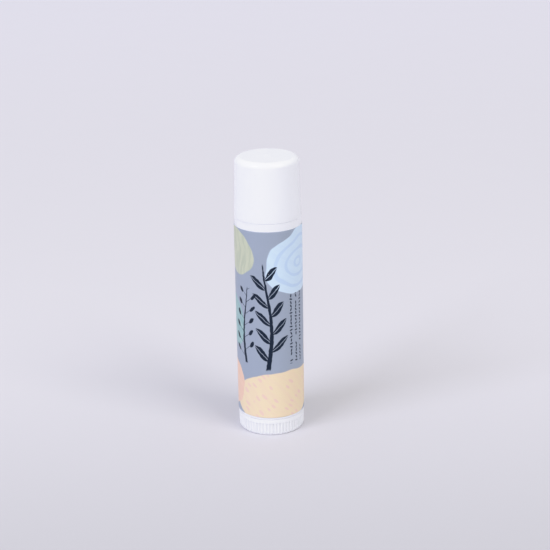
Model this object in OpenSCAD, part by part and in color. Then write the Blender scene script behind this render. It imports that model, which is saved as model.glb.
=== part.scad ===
// Lip balm stick: a twist-up tube with a pull-off cap and a wrapped label.
// The stick stands on its thumbwheel, its axis is Z and the surface it stands on is Z = 0.
// A left-hand screw turns with the thumbwheel and lifts a cup that carries the balm.

/* [Barrel] */
// Outside diameter of the barrel's body, under the label
barrel_od = 15.76; // [15.3:0.02:16.4]
// Height of the barrel's body, from its bottom edge to the shoulder
body_h = 49.15; // [46:0.05:53]
// Width of the shoulder, from the body to the foot of the neck
shoulder_step = 1.03; // [0.9:0.01:1.2]
// Height of the neck above the shoulder
neck_h = 12.1; // [9:0.1:15]
// Wall of the neck at its rim, which sets the bore
neck_wall = 0.57; // [0.45:0.01:0.8]
// How much the neck's radius narrows from the shoulder to the rim
neck_draft = 0.18; // [0:0.02:0.24]
// How far the snap bead stands out of the neck
neck_bead = 0.04; // [0.02:0.01:0.05]
// Height of the snap bead above the shoulder
neck_bead_z = 2.2; // [1.5:0.1:4]
// Length of the snap bead along the neck
neck_bead_w = 0.6; // [0.4:0.1:1.2]
// Thickness of the floor that the spindle snaps through
floor_t = 1.4; // [1:0.1:2.2]
// Depth of the open skirt under the floor
skirt_h = 1.05; // [0.8:0.05:1.6]
// Wall of the skirt round the thumbwheel's boss
skirt_wall = 1.93; // [1.4:0.01:2.4]
// Rounding of the barrel's outer edges
barrel_edge = 0.2; // [0.1:0.05:0.4]
// Rounding of the rim of the neck
rim_edge = 0.18; // [0.08:0.02:0.2]

/* [Guide ribs in the bore] */
// Number of guide ribs that stop the cup from turning
guide_count = 4; // [2:1:6]
// Width of a guide rib
guide_w = 0.9; // [0.6:0.1:1.4]
// How far a guide rib stands out of the bore
guide_proud = 0.35; // [0.25:0.05:0.4]
// How far below the rim the guide ribs end
guide_below_rim = 3.4; // [2:0.1:4.2]

/* [Thumbwheel] */
// How far the thumbwheel's smooth collar stands out of the barrel's body
wheel_step = 0.02; // [0:0.01:0.1]
// Height of the thumbwheel
wheel_h = 4; // [3.4:0.1:5.5]
// Height of the smooth collar above the grip ribs
collar_h = 0.95; // [0.6:0.05:1.6]
// Number of grip ribs
grip_count = 60; // [36:1:66]
// Radius of one half-round grip rib
grip_r = 0.3; // [0.2:0.01:0.32]
// How far a grip rib stands out of the drum
grip_proud = 0.2; // [0.12:0.01:0.24]
// How far the drum's ribs lie behind the collar
grip_setback = 0.02; // [0.01:0.01:0.1]
// Height of the plain foot under the ribs
foot_h = 0.22; // [0.1:0.02:0.5]
// Chamfer of the foot
foot_chamfer = 0.12; // [0.05:0.01:0.2]
// Wall of the thumbwheel round the hollow under it
wheel_wall = 1.38; // [1:0.02:1.8]
// Depth of the hollow under the thumbwheel
hollow_h = 2.2; // [1.4:0.1:2.6]
// Diameter of the stub in the hollow, where the part was moulded from
stub_d = 4.6; // [3.6:0.1:6]
// How far the stub ends above the surface
stub_lift = 0.7; // [0.4:0.1:1.2]
// Diameter of the dimple in the stub
dimple_d = 1.8; // [1:0.1:2.6]
// Depth of the dimple in the stub
dimple_h = 0.4; // [0.2:0.1:0.8]

/* [Screw] */
// Diameter of the spindle that turns in the barrel's floor
spindle_d = 4.9; // [4.5:0.1:5.3]
// How much smaller the screw's radius is than the spindle's, so that it passes through the floor
screw_step = 0.15; // [0.1:0.01:0.3]
// Depth of the thread
thread_h = 0.6; // [0.4:0.05:0.8]
// Rise of the thread in one turn
lead = 3; // [2.4:0.1:4]
// Width of the thread at its root
thread_root_w = 1.3; // [1:0.1:1.5]
// Width of the thread at its crest
thread_crest_w = 0.7; // [0.4:0.1:0.9]
// How far below the rim the screw ends
screw_below_rim = 7.4; // [6:0.1:9.4]
// How far the snap ring stands out of the spindle
snap_proud = 0.3; // [0.15:0.05:0.4]
// Height of the snap ring
snap_h = 0.68; // [0.5:0.02:0.9]

/* [Elevator cup] */
// Height of the cup that carries the balm
cup_h = 9; // [7:0.5:10]
// Wall of the cup
cup_wall = 0.75; // [0.65:0.05:1]
// Thickness of the cup's floor
cup_floor = 1.9; // [1.7:0.1:2.6]
// Wall of the threaded hub in the cup
hub_wall = 0.88; // [0.7:0.02:1.2]
// Height of the threaded hub, from the cup's underside
hub_h = 5.4; // [5.2:0.1:6]
// Turns of thread in the hub
hub_turns = 1; // [0.75:0.25:1]
// Number of fins that grip the balm
fin_count = 4; // [2:1:6]
// Thickness of a fin
fin_t = 0.7; // [0.5:0.05:1]
// Height of a fin above the cup's floor
fin_h = 2.6; // [1.5:0.1:3]

/* [Balm] */
// How far the balm's edge lies below the rim
balm_below_rim = 0.5; // [0.2:0.1:2]
// Height of the balm's slightly domed top
balm_crown = 0.45; // [0.2:0.05:0.8]
// Length of solid balm between the screw's tip and the top of its bore
balm_over_screw = 1; // [0.5:0.1:2]

/* [Cap] */
// How far the cap's mouth stands out of the barrel's body
cap_step = 0.02; // [-0.1:0.01:0.1]
// How much the cap's radius narrows from the mouth to the top edge
cap_draft = 0.38; // [0.1:0.02:0.46]
// Thickness of the cap's roof
cap_roof = 1.1; // [0.8:0.1:1.6]
// Rounding of the cap's top edge
cap_edge = 1.3; // [0.6:0.05:1.35]
// Rounding of the cap's mouth
cap_mouth_edge = 0.2; // [0.1:0.05:0.35]
// Space between the rim of the neck and the cap's roof
cap_headroom = 1; // [0.6:0.1:2]
// Depth of the cap's groove for the snap bead
cap_groove = 0.1; // [0.06:0.01:0.14]

/* [Label] */
// Thickness of the label film
label_t = 0.1; // [0.05:0.01:0.2]
// Bare barrel below the label
label_below = 0.55; // [0.3:0.05:3]
// Bare barrel between the label and the shoulder
label_above = 1.85; // [0.5:0.05:4]
// Gap between the label's two ends at the back
label_seam = 0.4; // [0.2:0.1:2]

/* [Fits] */
// Radial clearance of the spindle in the floor
spin_fit = 0.05; // [0.02:0.01:0.1]
// Radial clearance of the cap on the neck
cap_fit = 0.05; // [0.04:0.01:0.08]
// Radial clearance of the cup in the bore
slide_fit = 0.15; // [0.1:0.01:0.2]
// Radial clearance of the balm in the bore
balm_fit = 0.1; // [0.06:0.01:0.2]
// Gap between the balm and the walls of the cup that it is cast into
cast_fit = 0.02; // [0.01:0.01:0.05]
// Radial clearance between the screw and the hub
thread_fit = 0.12; // [0.08:0.01:0.16]
// Gap between the thumbwheel and the barrel
wheel_gap = 0.15; // [0.08:0.01:0.3]
// Radial gap round the thumbwheel's boss
boss_gap = 0.25; // [0.15:0.05:0.4]
// Gap between the barrel's floor and the cup at rest
cup_gap = 0.3; // [0.2:0.05:0.6]
// Gap between the shoulder and the cap's mouth
cap_gap = 0.1; // [0.05:0.01:0.3]
// Thickness of the label's adhesive
glue_t = 0.02; // [0.01:0.01:0.05]

/* [Hidden] */
$fn = 96;

// Small overlap that lets cuts and joined shapes run past a face
over = 0.1;
// Flat steps in a rounded edge, and thread stations in one turn
edge_steps = 8;
turn_steps = 16;
// Angle from the cup's fins to the guide ribs
guide_turn = 45;
// Turns over which the screw's thread grows out of its core
fade_turns = 0.25;
// Share of its depth that the thread starts and ends with
least_full = 0.02;
// How far a thread's root is buried in the wall that carries it
root_sink = 0.25;

barrel_r = barrel_od / 2;
neck_r = barrel_r - shoulder_step;
bore_r = neck_r - neck_draft - neck_wall;
wheel_r = barrel_r + wheel_step;
drum_r = wheel_r - grip_setback - grip_proud;
hollow_r = drum_r - wheel_wall;
cap_r = barrel_r + cap_step;
spindle_r = spindle_d / 2;
screw_r = spindle_r - screw_step;
core_r = screw_r - thread_h;

barrel_z = wheel_h + wheel_gap;
floor_z = barrel_z + skirt_h;
floor_top_z = floor_z + floor_t;
shoulder_z = barrel_z + body_h;
rim_z = shoulder_z + neck_h;
guide_top_z = rim_z - guide_below_rim;
screw_top_z = rim_z - screw_below_rim;
cup_z = floor_top_z + cup_gap;
cup_top_z = cup_z + cup_h;
cup_r = bore_r - slide_fit;
cup_bore_r = cup_r - cup_wall;
cup_floor_z = cup_z + cup_floor;
hub_bore_r = screw_r + thread_fit;
hub_r = hub_bore_r + hub_wall;
hub_top_z = cup_z + hub_h;
skirt_r = barrel_r - skirt_wall;
boss_r = skirt_r - boss_gap;
snap_r = spindle_r + snap_proud;
snap_z = floor_top_z + wheel_gap / 2;
snap_top_z = snap_z + snap_h;
recess_r = snap_r + cup_gap;
recess_top_z = snap_top_z + cup_gap;
thread_z = snap_top_z + thread_root_w / 2;
thread_turns = (screw_top_z - thread_z - thread_root_w) / lead;
hub_thread_z = (recess_top_z + hub_top_z - hub_turns * lead) / 2;
balm_r = bore_r - balm_fit;
balm_edge_z = rim_z - balm_below_rim;
balm_bore_top_z = screw_top_z + balm_over_screw;
cap_z = shoulder_z + cap_gap;
cap_roof_z = rim_z + cap_headroom;
cap_top_z = cap_roof_z + cap_roof;
label_r = barrel_r + glue_t;

// Points of an arc about [x, y], from angle a to angle b
function arc(x, y, r, a, b) =
    [for (i = [0 : edge_steps]) let (t = a + (b - a) * i / edge_steps) [x + r * cos(t), y + r * sin(t)]];

// Radius of the neck at height z, which the cap's bore follows
function neck_at(z) = neck_r - neck_draft * (z - shoulder_z) / neck_h;

// Point on the balm's domed top, from its edge at t = 0 to its middle at t = 1
function dome(t) = [balm_r * (1 - t), balm_edge_z + balm_crown * (1 - pow(1 - t, 2))];

// How full the thread is at a fraction of its length: it fades out at both ends
function fullness(turn, turns) = min(1, turn / fade_turns, (turns - turn) / fade_turns);

// One left-hand thread as a swept ridge, which climbs by lead in one turn.
// Its middle crosses the X axis at height phase_z. A ridge with fade grows out of r_in.
module ridge(z, turns, phase_z, r_in, r_out, w_in, w_out, fade) {
    last = round(turns * turn_steps);
    stations = [for (i = [0 : last])
        let (
            up = z + lead * i / turn_steps,
            turn = -360 * (up - phase_z) / lead,
            full = fade ? max(least_full, fullness(i / turn_steps, last / turn_steps)) : 1,
            far = r_in + (r_out - r_in) * full
        )
        for (p = [[r_in, -w_in / 2], [far, -w_out / 2], [far, w_out / 2], [r_in, w_in / 2]])
            [p[0] * cos(turn), p[0] * sin(turn), up + p[1]]];
    sides = [for (i = [0 : last - 1], k = [0 : 3])
        let (a = 4 * i + k, b = 4 * i + (k + 1) % 4)
        for (f = [[a, b + 4, b], [a, a + 4, b + 4]]) f];
    start = [[0, 2, 3], [0, 1, 2]];
    end = [for (f = [[0, 2, 1], [0, 3, 2]]) [for (p = f) 4 * last + p]];
    polyhedron(points = stations, faces = concat(sides, start, end), convexity = 10);
}

// Bars that run along the bore's wall, wider by gap on every side for the grooves that clear them
module guides(z, top, gap) {
    for (i = [0 : guide_count - 1])
        rotate([0, 0, guide_turn + i * 360 / guide_count])
            translate([bore_r - guide_proud - gap, -guide_w / 2 - gap, z])
                cube([guide_proud + gap + over, guide_w + 2 * gap, top - z]);
}

// Fins between the hub and the cup's wall, thicker by gap on each side for the slots in the balm
module fins(z, top, inner, outer, gap) {
    for (i = [0 : fin_count - 1])
        rotate([0, 0, i * 360 / fin_count])
            translate([inner, -fin_t / 2 - gap, z])
                cube([outer - inner, fin_t + 2 * gap, top + gap - z]);
}

// Pull-off cap with a drafted wall, a rounded top edge and a groove for the snap bead
module cap() {
    mouth_r = neck_at(cap_z) + cap_fit;
    roof_r = neck_at(cap_roof_z) + cap_fit;
    groove_z = shoulder_z + neck_bead_z;
    groove_w = neck_bead_w + 2 * cap_gap;
    inner_edge = cap_headroom / 2;
    color("white")
        difference() {
            rotate_extrude()
                polygon(concat(
                    [[0, cap_z]],
                    arc(cap_r - cap_mouth_edge, cap_z + cap_mouth_edge, cap_mouth_edge, -90, 0),
                    arc(cap_r - cap_draft - cap_edge, cap_top_z - cap_edge, cap_edge, 0, 90),
                    [[0, cap_top_z]]
                ));
            rotate_extrude()
                polygon(concat(
                    [[0, cap_z - over], [mouth_r + cap_mouth_edge + over, cap_z - over]],
                    [[mouth_r, cap_z + cap_mouth_edge]],
                    arc(roof_r - inner_edge, cap_roof_z - inner_edge, inner_edge, 0, 90),
                    [[0, cap_roof_z]]
                ));
            rotate_extrude()
                polygon([
                    [neck_r - over, groove_z - groove_w / 2],
                    [neck_at(groove_z) + cap_fit, groove_z - groove_w / 2],
                    [neck_at(groove_z) + cap_fit + cap_groove, groove_z],
                    [neck_at(groove_z) + cap_fit, groove_z + groove_w / 2],
                    [neck_r - over, groove_z + groove_w / 2]
                ]);
        }
}

// Tube with a shoulder, a neck for the cap, a floor for the spindle and guide ribs in its bore
module barrel() {
    bead_z = shoulder_z + neck_bead_z;
    rim_r = neck_at(rim_z);
    color("whitesmoke")
        union() {
            difference() {
                rotate_extrude()
                    polygon(concat(
                        [[0, barrel_z]],
                        arc(barrel_r - barrel_edge, barrel_z + barrel_edge, barrel_edge, -90, 0),
                        arc(barrel_r - barrel_edge, shoulder_z - barrel_edge, barrel_edge, 0, 90),
                        [
                            [neck_r, shoulder_z],
                            [neck_at(bead_z - neck_bead_w / 2), bead_z - neck_bead_w / 2],
                            [neck_at(bead_z) + neck_bead, bead_z],
                            [neck_at(bead_z + neck_bead_w / 2), bead_z + neck_bead_w / 2]
                        ],
                        arc(rim_r - rim_edge, rim_z - rim_edge, rim_edge, 0, 90),
                        [[0, rim_z]]
                    ));
                translate([0, 0, barrel_z - over])
                    cylinder(r = skirt_r, h = skirt_h + over);
                translate([0, 0, floor_z - over])
                    cylinder(r = spindle_r + spin_fit, h = floor_t + 2 * over);
                translate([0, 0, floor_top_z])
                    cylinder(r = bore_r, h = rim_z - floor_top_z + over);
            }
            guides(floor_top_z - over, guide_top_z, 0);
        }
}

// Ribbed thumbwheel, spindle and lifting screw, moulded as one piece
module thumbwheel_screw() {
    grip_top_z = wheel_h - collar_h;
    boss_z = floor_z - wheel_gap;
    color("ghostwhite")
        union() {
            difference() {
                rotate_extrude()
                    polygon([
                        [0, 0],
                        [drum_r - foot_chamfer, 0],
                        [drum_r, foot_chamfer],
                        [drum_r, grip_top_z],
                        [wheel_r, grip_top_z],
                        [wheel_r, wheel_h - foot_chamfer],
                        [wheel_r - foot_chamfer, wheel_h],
                        [boss_r, wheel_h],
                        [boss_r, boss_z],
                        [spindle_r, boss_z],
                        [spindle_r, snap_z],
                        [snap_r, snap_z + snap_proud / 2],
                        [snap_r, snap_z + snap_h / 2],
                        [core_r, snap_top_z],
                        [core_r, screw_top_z - core_r / 2],
                        [core_r / 2, screw_top_z],
                        [0, screw_top_z]
                    ]);
                difference() {
                    translate([0, 0, -over])
                        cylinder(r = hollow_r, h = hollow_h + over);
                    translate([0, 0, stub_lift])
                        cylinder(r = stub_d / 2, h = hollow_h);
                }
                translate([0, 0, -over])
                    cylinder(r = dimple_d / 2, h = stub_lift + dimple_h + over);
            }
            for (i = [0 : grip_count - 1])
                rotate([0, 0, i * 360 / grip_count])
                    translate([wheel_r - grip_setback - grip_r, 0, foot_h])
                        cylinder(r = grip_r, h = grip_top_z + over - foot_h, $fn = 24);
            ridge(
                thread_z, thread_turns, thread_z, core_r - root_sink, screw_r,
                thread_root_w, thread_crest_w, true
            );
        }
}

// Cup that rides up the screw with the balm, held from turning by notches over the guide ribs
module elevator_cup() {
    groove_w = lead - thread_root_w;
    color("gainsboro")
        union() {
            difference() {
                translate([0, 0, cup_z])
                    cylinder(r = cup_r, h = cup_h);
                translate([0, 0, cup_floor_z])
                    cylinder(r = cup_bore_r, h = cup_h);
                translate([0, 0, cup_z - over])
                    cylinder(r = recess_r, h = recess_top_z - cup_z + over);
                translate([0, 0, cup_z - over])
                    cylinder(r = hub_bore_r, h = cup_h);
                guides(cup_z - over, cup_top_z + over, slide_fit);
            }
            translate([0, 0, recess_top_z])
                difference() {
                    cylinder(r = hub_r, h = hub_top_z - recess_top_z);
                    translate([0, 0, -over])
                        cylinder(r = hub_bore_r, h = hub_top_z - recess_top_z + 2 * over);
                }
            fins(cup_floor_z - over, cup_floor_z + fin_h, hub_r - over, cup_bore_r + over, 0);
            ridge(
                hub_thread_z, hub_turns, thread_z + lead / 2, core_r + thread_fit,
                hub_bore_r + root_sink, groove_w / 2, groove_w - 2 * thread_fit, false
            );
        }
}

// Stick of balm cast into the cup, with a bore that clears the screw
module balm_stick() {
    color("lightyellow")
        difference() {
            rotate_extrude()
                polygon([
                    [0, cup_floor_z],
                    [cup_bore_r - cast_fit, cup_floor_z],
                    [cup_bore_r - cast_fit, cup_top_z],
                    [balm_r, cup_top_z],
                    for (i = [0 : edge_steps]) dome(i / edge_steps)
                ]);
            translate([0, 0, cup_floor_z - over])
                cylinder(r = hub_bore_r, h = balm_bore_top_z - cup_floor_z + over);
            translate([0, 0, cup_floor_z - over])
                cylinder(r = hub_r + cast_fit, h = hub_top_z - cup_floor_z + over);
            fins(cup_floor_z - over, cup_floor_z + fin_h, hub_bore_r, cup_bore_r + over, cast_fit);
            guides(cup_floor_z - over, guide_top_z + cup_gap, slide_fit);
        }
}

// Printed film wrapped once round the barrel, with its two ends close together at the back
module wrap_label() {
    color("slategray")
        translate([0, 0, barrel_z + label_below])
            difference() {
                cylinder(r = label_r + label_t, h = body_h - label_below - label_above);
                translate([0, 0, -over])
                    cylinder(r = label_r, h = body_h);
                translate([-label_seam / 2, 0, -over])
                    cube([label_seam, barrel_od, body_h]);
            }
}

cap();
barrel();
thumbwheel_screw();
elevator_cup();
balm_stick();
wrap_label();
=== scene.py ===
"""Looks of a lip balm stick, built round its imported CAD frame.

Sizes in the classes are millimetres and become metres in the meshes. The stick stands at the
origin on its thumbwheel, its axis is Z, the front faces -Y and the label's seam faces +Y.
"""

import logging
import math
from collections.abc import Callable
from dataclasses import dataclass
from enum import Enum

import bpy
import numpy as np
from bpy.types import Material, Mesh, Node, NodeTree, Object
from mathutils import Matrix, Vector


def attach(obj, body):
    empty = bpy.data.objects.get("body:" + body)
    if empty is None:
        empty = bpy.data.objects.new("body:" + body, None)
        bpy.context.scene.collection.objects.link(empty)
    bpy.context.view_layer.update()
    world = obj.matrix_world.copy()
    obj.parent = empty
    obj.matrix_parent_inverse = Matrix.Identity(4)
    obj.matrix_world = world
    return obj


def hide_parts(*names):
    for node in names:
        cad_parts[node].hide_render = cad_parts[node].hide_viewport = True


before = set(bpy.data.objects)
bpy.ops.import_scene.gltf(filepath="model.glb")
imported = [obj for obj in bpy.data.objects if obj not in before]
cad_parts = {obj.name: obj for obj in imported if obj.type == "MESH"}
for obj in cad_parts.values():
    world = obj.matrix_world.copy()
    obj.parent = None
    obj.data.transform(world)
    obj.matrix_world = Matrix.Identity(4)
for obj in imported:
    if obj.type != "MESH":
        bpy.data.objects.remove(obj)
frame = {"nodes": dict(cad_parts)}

LOG = logging.getLogger("balm_stick")
MM = 0.001
TURN, QUARTER = 2 * math.pi, math.pi / 2
CREASE = math.radians(38)  # An edge that is sharper than this stays sharp.
ON_AXIS = 1e-6  # A smaller radius counts as none.
MERIDIANS = 192
SUNK = 0.1  # How far a rib or thread starts inside the body that carries it.
BLUNT = 0.02  # Rounding of a rib's end that is hidden inside the body.

Tone = tuple[float, float, float, float]
Triple = tuple[float, float, float]
NOWHERE: Triple = (0, 0, 0)
Relief = Callable[[np.ndarray, np.ndarray, float], tuple[np.ndarray, np.ndarray]]


def tone(red: float, green: float, blue: float) -> Tone:
    """Linear colour of a tone that is given as 0 to 255.

    Args:
        red: red part.
        green: green part.
        blue: blue part.

    Returns:
        The four linear channels that a colour socket takes.
    """
    channels = [value / 255 for value in (red, green, blue)]
    linear = [c / 12.92 if c <= 0.04045 else ((c + 0.055) / 1.055) ** 2.4 for c in channels]
    return (*linear, 1.0)


# ---- meshes


@dataclass(frozen=True)
class Corner:
    """One corner of a turned outline: its radius, its height and how much it is rounded."""

    r: float
    z: float
    rounding: float = 0.0


def rounded(
    corners: list[Corner], steps: int, hold: float = 0.04, most: float = 0.48
) -> np.ndarray:
    """Outline with its corners rounded, and with points that keep the flats flat when shaded.

    Args:
        corners: the outline's corners, counterclockwise with radius to the right.
        steps: flat steps in a rounded corner.
        hold: distance from a rounding to the point that holds the flat beside it.
        most: the share of a side that one rounding may take.

    Returns:
        Points as an array of radius and height, in mm.
    """
    points: list[tuple[float, float]] = []
    for index, corner in enumerate(corners):
        here = np.array([corner.r, corner.z])
        if corner.rounding <= 0:
            points.append(tuple(here))
            continue
        beside = (corners[index - 1], corners[(index + 1) % len(corners)])
        legs = [np.array([c.r, c.z]) - here for c in beside]
        lengths = [float(np.linalg.norm(leg)) for leg in legs]
        units = [leg / length for leg, length in zip(legs, lengths)]
        half = math.acos(float(np.clip(units[0] @ units[1], -1, 1))) / 2
        reach = min(corner.rounding / math.tan(half), most * min(lengths))
        radius = reach * math.tan(half)
        bisector = units[0] + units[1]
        middle = here + bisector / np.linalg.norm(bisector) * radius / math.sin(half)
        first, last = (here + unit * reach - middle for unit in units)
        turn = math.atan2(first[0] * last[1] - first[1] * last[0], float(first @ last))
        spare = [min(hold, length - reach) / 2 for length in lengths]
        points.append(tuple(here + units[0] * (reach + spare[0])))
        for step in range(steps + 1):
            spun = Matrix.Rotation(turn * step / steps, 2) @ Vector(first)
            points.append((middle[0] + spun[0], middle[1] + spun[1]))
        points.append(tuple(here + units[1] * (reach + spare[1])))
    return np.array(points)


def smooth(mesh: Mesh) -> None:
    """Shades a mesh smooth and keeps its sharp edges."""
    mesh.shade_smooth()
    mesh.set_sharp_from_angle(angle=CREASE)


def new_piece(
    name: str, points: np.ndarray, faces: list[tuple[int, ...]], *materials: Material
) -> Object:
    """Makes a smooth-shaded object that sits at the origin.

    Args:
        name: the object's and the mesh's name.
        points: vertices in mm.
        faces: vertex numbers of each face, counterclockwise from outside.
        materials: its materials.

    Returns:
        The object, linked to the scene.
    """
    mesh = bpy.data.meshes.new(name)
    mesh.from_pydata((np.asarray(points) * MM).tolist(), [], faces)
    mesh.validate()
    smooth(mesh)
    for material in materials:
        mesh.materials.append(material)
    piece = bpy.data.objects.new(name, mesh)
    bpy.context.scene.collection.objects.link(piece)
    return piece


def turned(
    name: str,
    outline: np.ndarray,
    material: Material,
    angles: np.ndarray | None = None,
    relief: Relief | None = None,
) -> Object:
    """Solid of revolution of a closed outline.

    Args:
        name: the object's name.
        outline: points of radius and height in mm, counterclockwise.
        material: its material.
        angles: the angles of the meridians, or None for equal steps.
        relief: gives the radii and heights to use from the angles, the radii and the height.

    Returns:
        The turned object.
    """
    angles = np.linspace(0, TURN, MERIDIANS, endpoint=False) if angles is None else angles
    count, rings, points, faces = len(angles), [], [], []
    for r, z in outline:
        if r < ON_AXIS:
            rings.append([len(points)] * count)
            points.append((0.0, 0.0, z))
            continue
        radii, heights = np.full(count, r), np.full(count, z)
        if relief is not None:
            radii, heights = relief(angles, radii, z)
        rings.append(list(range(len(points), len(points) + count)))
        points.extend(zip(radii * np.cos(angles), radii * np.sin(angles), heights))
    for k, ring in enumerate(rings):
        above = rings[(k + 1) % len(rings)]
        for i in range(count):
            j = (i + 1) % count
            face = tuple(dict.fromkeys((ring[i], ring[j], above[j], above[i])))
            if len(face) > 2:
                faces.append(face)
    return new_piece(name, np.array(points), faces, material)


def hand_in(piece: Object, body: str, node: str) -> None:
    """Lets a finished piece ride on its body and stand for its CAD node, and reports it.

    Args:
        piece: the finished object.
        body: the CAD body that carries it.
        node: the CAD node that it stands for.
    """
    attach(piece, body)
    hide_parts(node)
    triangles = sum(len(face.vertices) - 2 for face in piece.data.polygons)
    finishes = [material.name for material in piece.data.materials]
    LOG.info("%s on %s: %d triangles, %s", piece.name, body, triangles, finishes)


# ---- node trees


class Wire:
    """A node's output in a sketch. Each operator places one Math node and gives its result."""

    def __init__(self, sketch: "Sketch", node: Node, output: int | str = 0) -> None:
        """Takes one output of a node that is in the sketch."""
        self.sketch, self.node, self.output = sketch, node, output

    def __getitem__(self, output: int | str) -> "Wire":
        """Another output of the same node."""
        return Wire(self.sketch, self.node, output)

    def __sub__(self, other: "Feed") -> "Wire":
        """The difference."""
        return self.sketch.maths("SUBTRACT", self, other)

    def __rsub__(self, other: float) -> "Wire":
        """What it leaves of a number."""
        return self.sketch.maths("SUBTRACT", other, self)

    def __mul__(self, other: "Feed") -> "Wire":
        """The product."""
        return self.sketch.maths("MULTIPLY", self, other)

    def __truediv__(self, other: "Feed") -> "Wire":
        """The quotient."""
        return self.sketch.maths("DIVIDE", self, other)

    def __gt__(self, other: "Feed") -> "Wire":
        """1 where it is greater, else 0."""
        return self.sketch.maths("GREATER_THAN", self, other)

    def __lt__(self, other: "Feed") -> "Wire":
        """1 where it is less, else 0."""
        return self.sketch.maths("LESS_THAN", self, other)

    def __abs__(self) -> "Wire":
        """Its size without its sign."""
        return self.sketch.maths("ABSOLUTE", self)

    def at_least(self, other: "Feed") -> "Wire":
        """The larger of the two."""
        return self.sketch.maths("MAXIMUM", self, other)

    def scaled(self, factor: "Feed", offset: "Feed") -> "Wire":
        """Its product with a factor, plus an offset."""
        return self.sketch.maths("MULTIPLY_ADD", self, factor, offset)

    def firm(self, factor: float) -> "Wire":
        """Its product with a factor, held between 0 and 1."""
        return self.sketch.maths("MULTIPLY", self, factor, clamp=True)

    def share_of(self, whole: "Feed") -> "Wire":
        """Its share of a whole, held between 0 and 1."""
        return self.sketch.maths("DIVIDE", self, whole, clamp=True)


Feed = Wire | float | tuple[float, ...] | Material


def spaced(values: dict[str, Feed]) -> dict[str, Feed]:
    """The same values by their sockets' names, which have a space for each _."""
    return {name.replace("_", " "): value for name, value in values.items()}


class Sketch:
    """Short-hand that places nodes in one tree, in rows, and joins them."""

    ROW, ACROSS, DOWN = 16, 190, -260

    def __init__(self, tree: NodeTree) -> None:
        """Starts with an empty tree."""
        self.tree = tree
        tree.nodes.clear()

    def put(
        self, kind: str, feeds: dict[int | str, Feed | list[Wire]] | None = None, **settings: object
    ) -> Wire:
        """Places one node.

        Args:
            kind: the node's type name.
            feeds: socket name or number to a value, to an output or to a list of outputs.
            settings: the node's own properties.

        Returns:
            The node's first output.
        """
        node = self.tree.nodes.new(kind)
        row, column = divmod(len(self.tree.nodes), self.ROW)
        node.location = (self.ACROSS * column, self.DOWN * row)
        for name, value in settings.items():
            setattr(node, name, value)
        for socket, fed in (feeds or {}).items():
            for value in fed if isinstance(fed, list) else [fed]:
                if isinstance(value, Wire):
                    self.tree.links.new(value.node.outputs[value.output], node.inputs[socket])
                else:
                    node.inputs[socket].default_value = value
        return Wire(self, node)

    def place(self) -> Wire:
        """Place on the piece itself, in metres."""
        return self.put("ShaderNodeTexCoord")["Object"]

    def maths(self, operation: str, *values: Feed, clamp: bool = False) -> Wire:
        """Result of one Math node."""
        feeds = dict(enumerate(values))
        return self.put("ShaderNodeMath", feeds, operation=operation, use_clamp=clamp)

    def vectors(self, operation: str, *values: Feed) -> Wire:
        """Result of one Vector Math node, whose output 1 is a plain number."""
        return self.put("ShaderNodeVectorMath", dict(enumerate(values)), operation=operation)

    def vector(self, x: Feed = 0.0, y: Feed = 0.0, z: Feed = 0.0) -> Wire:
        """Vector of three numbers."""
        return self.put("ShaderNodeCombineXYZ", {0: x, 1: y, 2: z})

    def parts(self, vector: Wire) -> Wire:
        """The three numbers of a vector, as outputs 0 to 2."""
        return self.put("ShaderNodeSeparateXYZ", {0: vector})

    def mixed(self, share: Feed, first: Feed, second: Feed) -> Wire:
        """Colour between two colours."""
        return self.put("ShaderNodeMix", {0: share, 6: first, 7: second}, data_type="RGBA")[2]

    def noise(self, where: Wire, scale: Feed, detail: float = 2.0) -> Wire:
        """Strength of one Noise Texture."""
        return self.put("ShaderNodeTexNoise", {"Vector": where, "Scale": scale, "Detail": detail})

    def cells(self, where: Wire, scale: Feed, loose: float = 1.0, kind: str = "F1") -> Wire:
        """Distance to the middle of a cell in one Voronoi Texture."""
        feeds = {"Vector": where, "Scale": scale, "Randomness": loose}
        return self.put("ShaderNodeTexVoronoi", feeds, feature=kind)

    def placed(
        self, where: Wire, at: Triple = NOWHERE, turn: Triple = NOWHERE, size: Triple = (1, 1, 1)
    ) -> Wire:
        """Coordinates measured from a place, in a turned frame, in units of a size."""
        feeds = {"Vector": where, "Location": at, "Rotation": turn, "Scale": size}
        return self.put("ShaderNodeMapping", feeds, vector_type="TEXTURE")

    def above(self, value: Wire, start: float, end: float) -> Wire:
        """Share that rises smoothly from 0 at start to 1 at end."""
        feeds = {"Value": value, "From Min": start, "From Max": end}
        return self.put("ShaderNodeMapRange", feeds, interpolation_type="SMOOTHSTEP")

    def below(self, value: Wire, start: float, end: float) -> Wire:
        """Share that falls smoothly from 1 at start to 0 at end."""
        return 1.0 - self.above(value, start, end)

    def group(self, tree: NodeTree, **values: Feed) -> Wire:
        """Places a shader group, with its inputs named with _ for a space."""
        return self.put("ShaderNodeGroup", spaced(values), node_tree=tree)

    def finish(self, height: Wire, strength: float, depth: float, **sockets: Feed) -> None:
        """Ends a material: one Bump node, one Principled BSDF and the output.

        Args:
            height: the surface's relief.
            strength: how much of the relief shows.
            depth: the relief's depth in mm.
            sockets: the shader's own sockets, named with _ for a space.
        """
        bump = {"Strength": strength, "Distance": depth * MM, "Height": height}
        normal = self.put("ShaderNodeBump", bump)
        shader = self.put("ShaderNodeBsdfPrincipled", {**spaced(sockets), "Normal": normal})
        self.put("ShaderNodeOutputMaterial", {0: shader})


class Kind(Enum):
    """What a group's socket carries."""

    NUMBER = "NodeSocketFloat"
    WHOLE = "NodeSocketInt"
    COLOUR = "NodeSocketColor"
    SHAPE = "NodeSocketGeometry"
    FINISH = "NodeSocketMaterial"


@dataclass(frozen=True)
class Port:
    """A named socket of a node group and its first value."""

    name: str
    value: float | Tone | None = None
    kind: Kind = Kind.NUMBER


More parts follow.
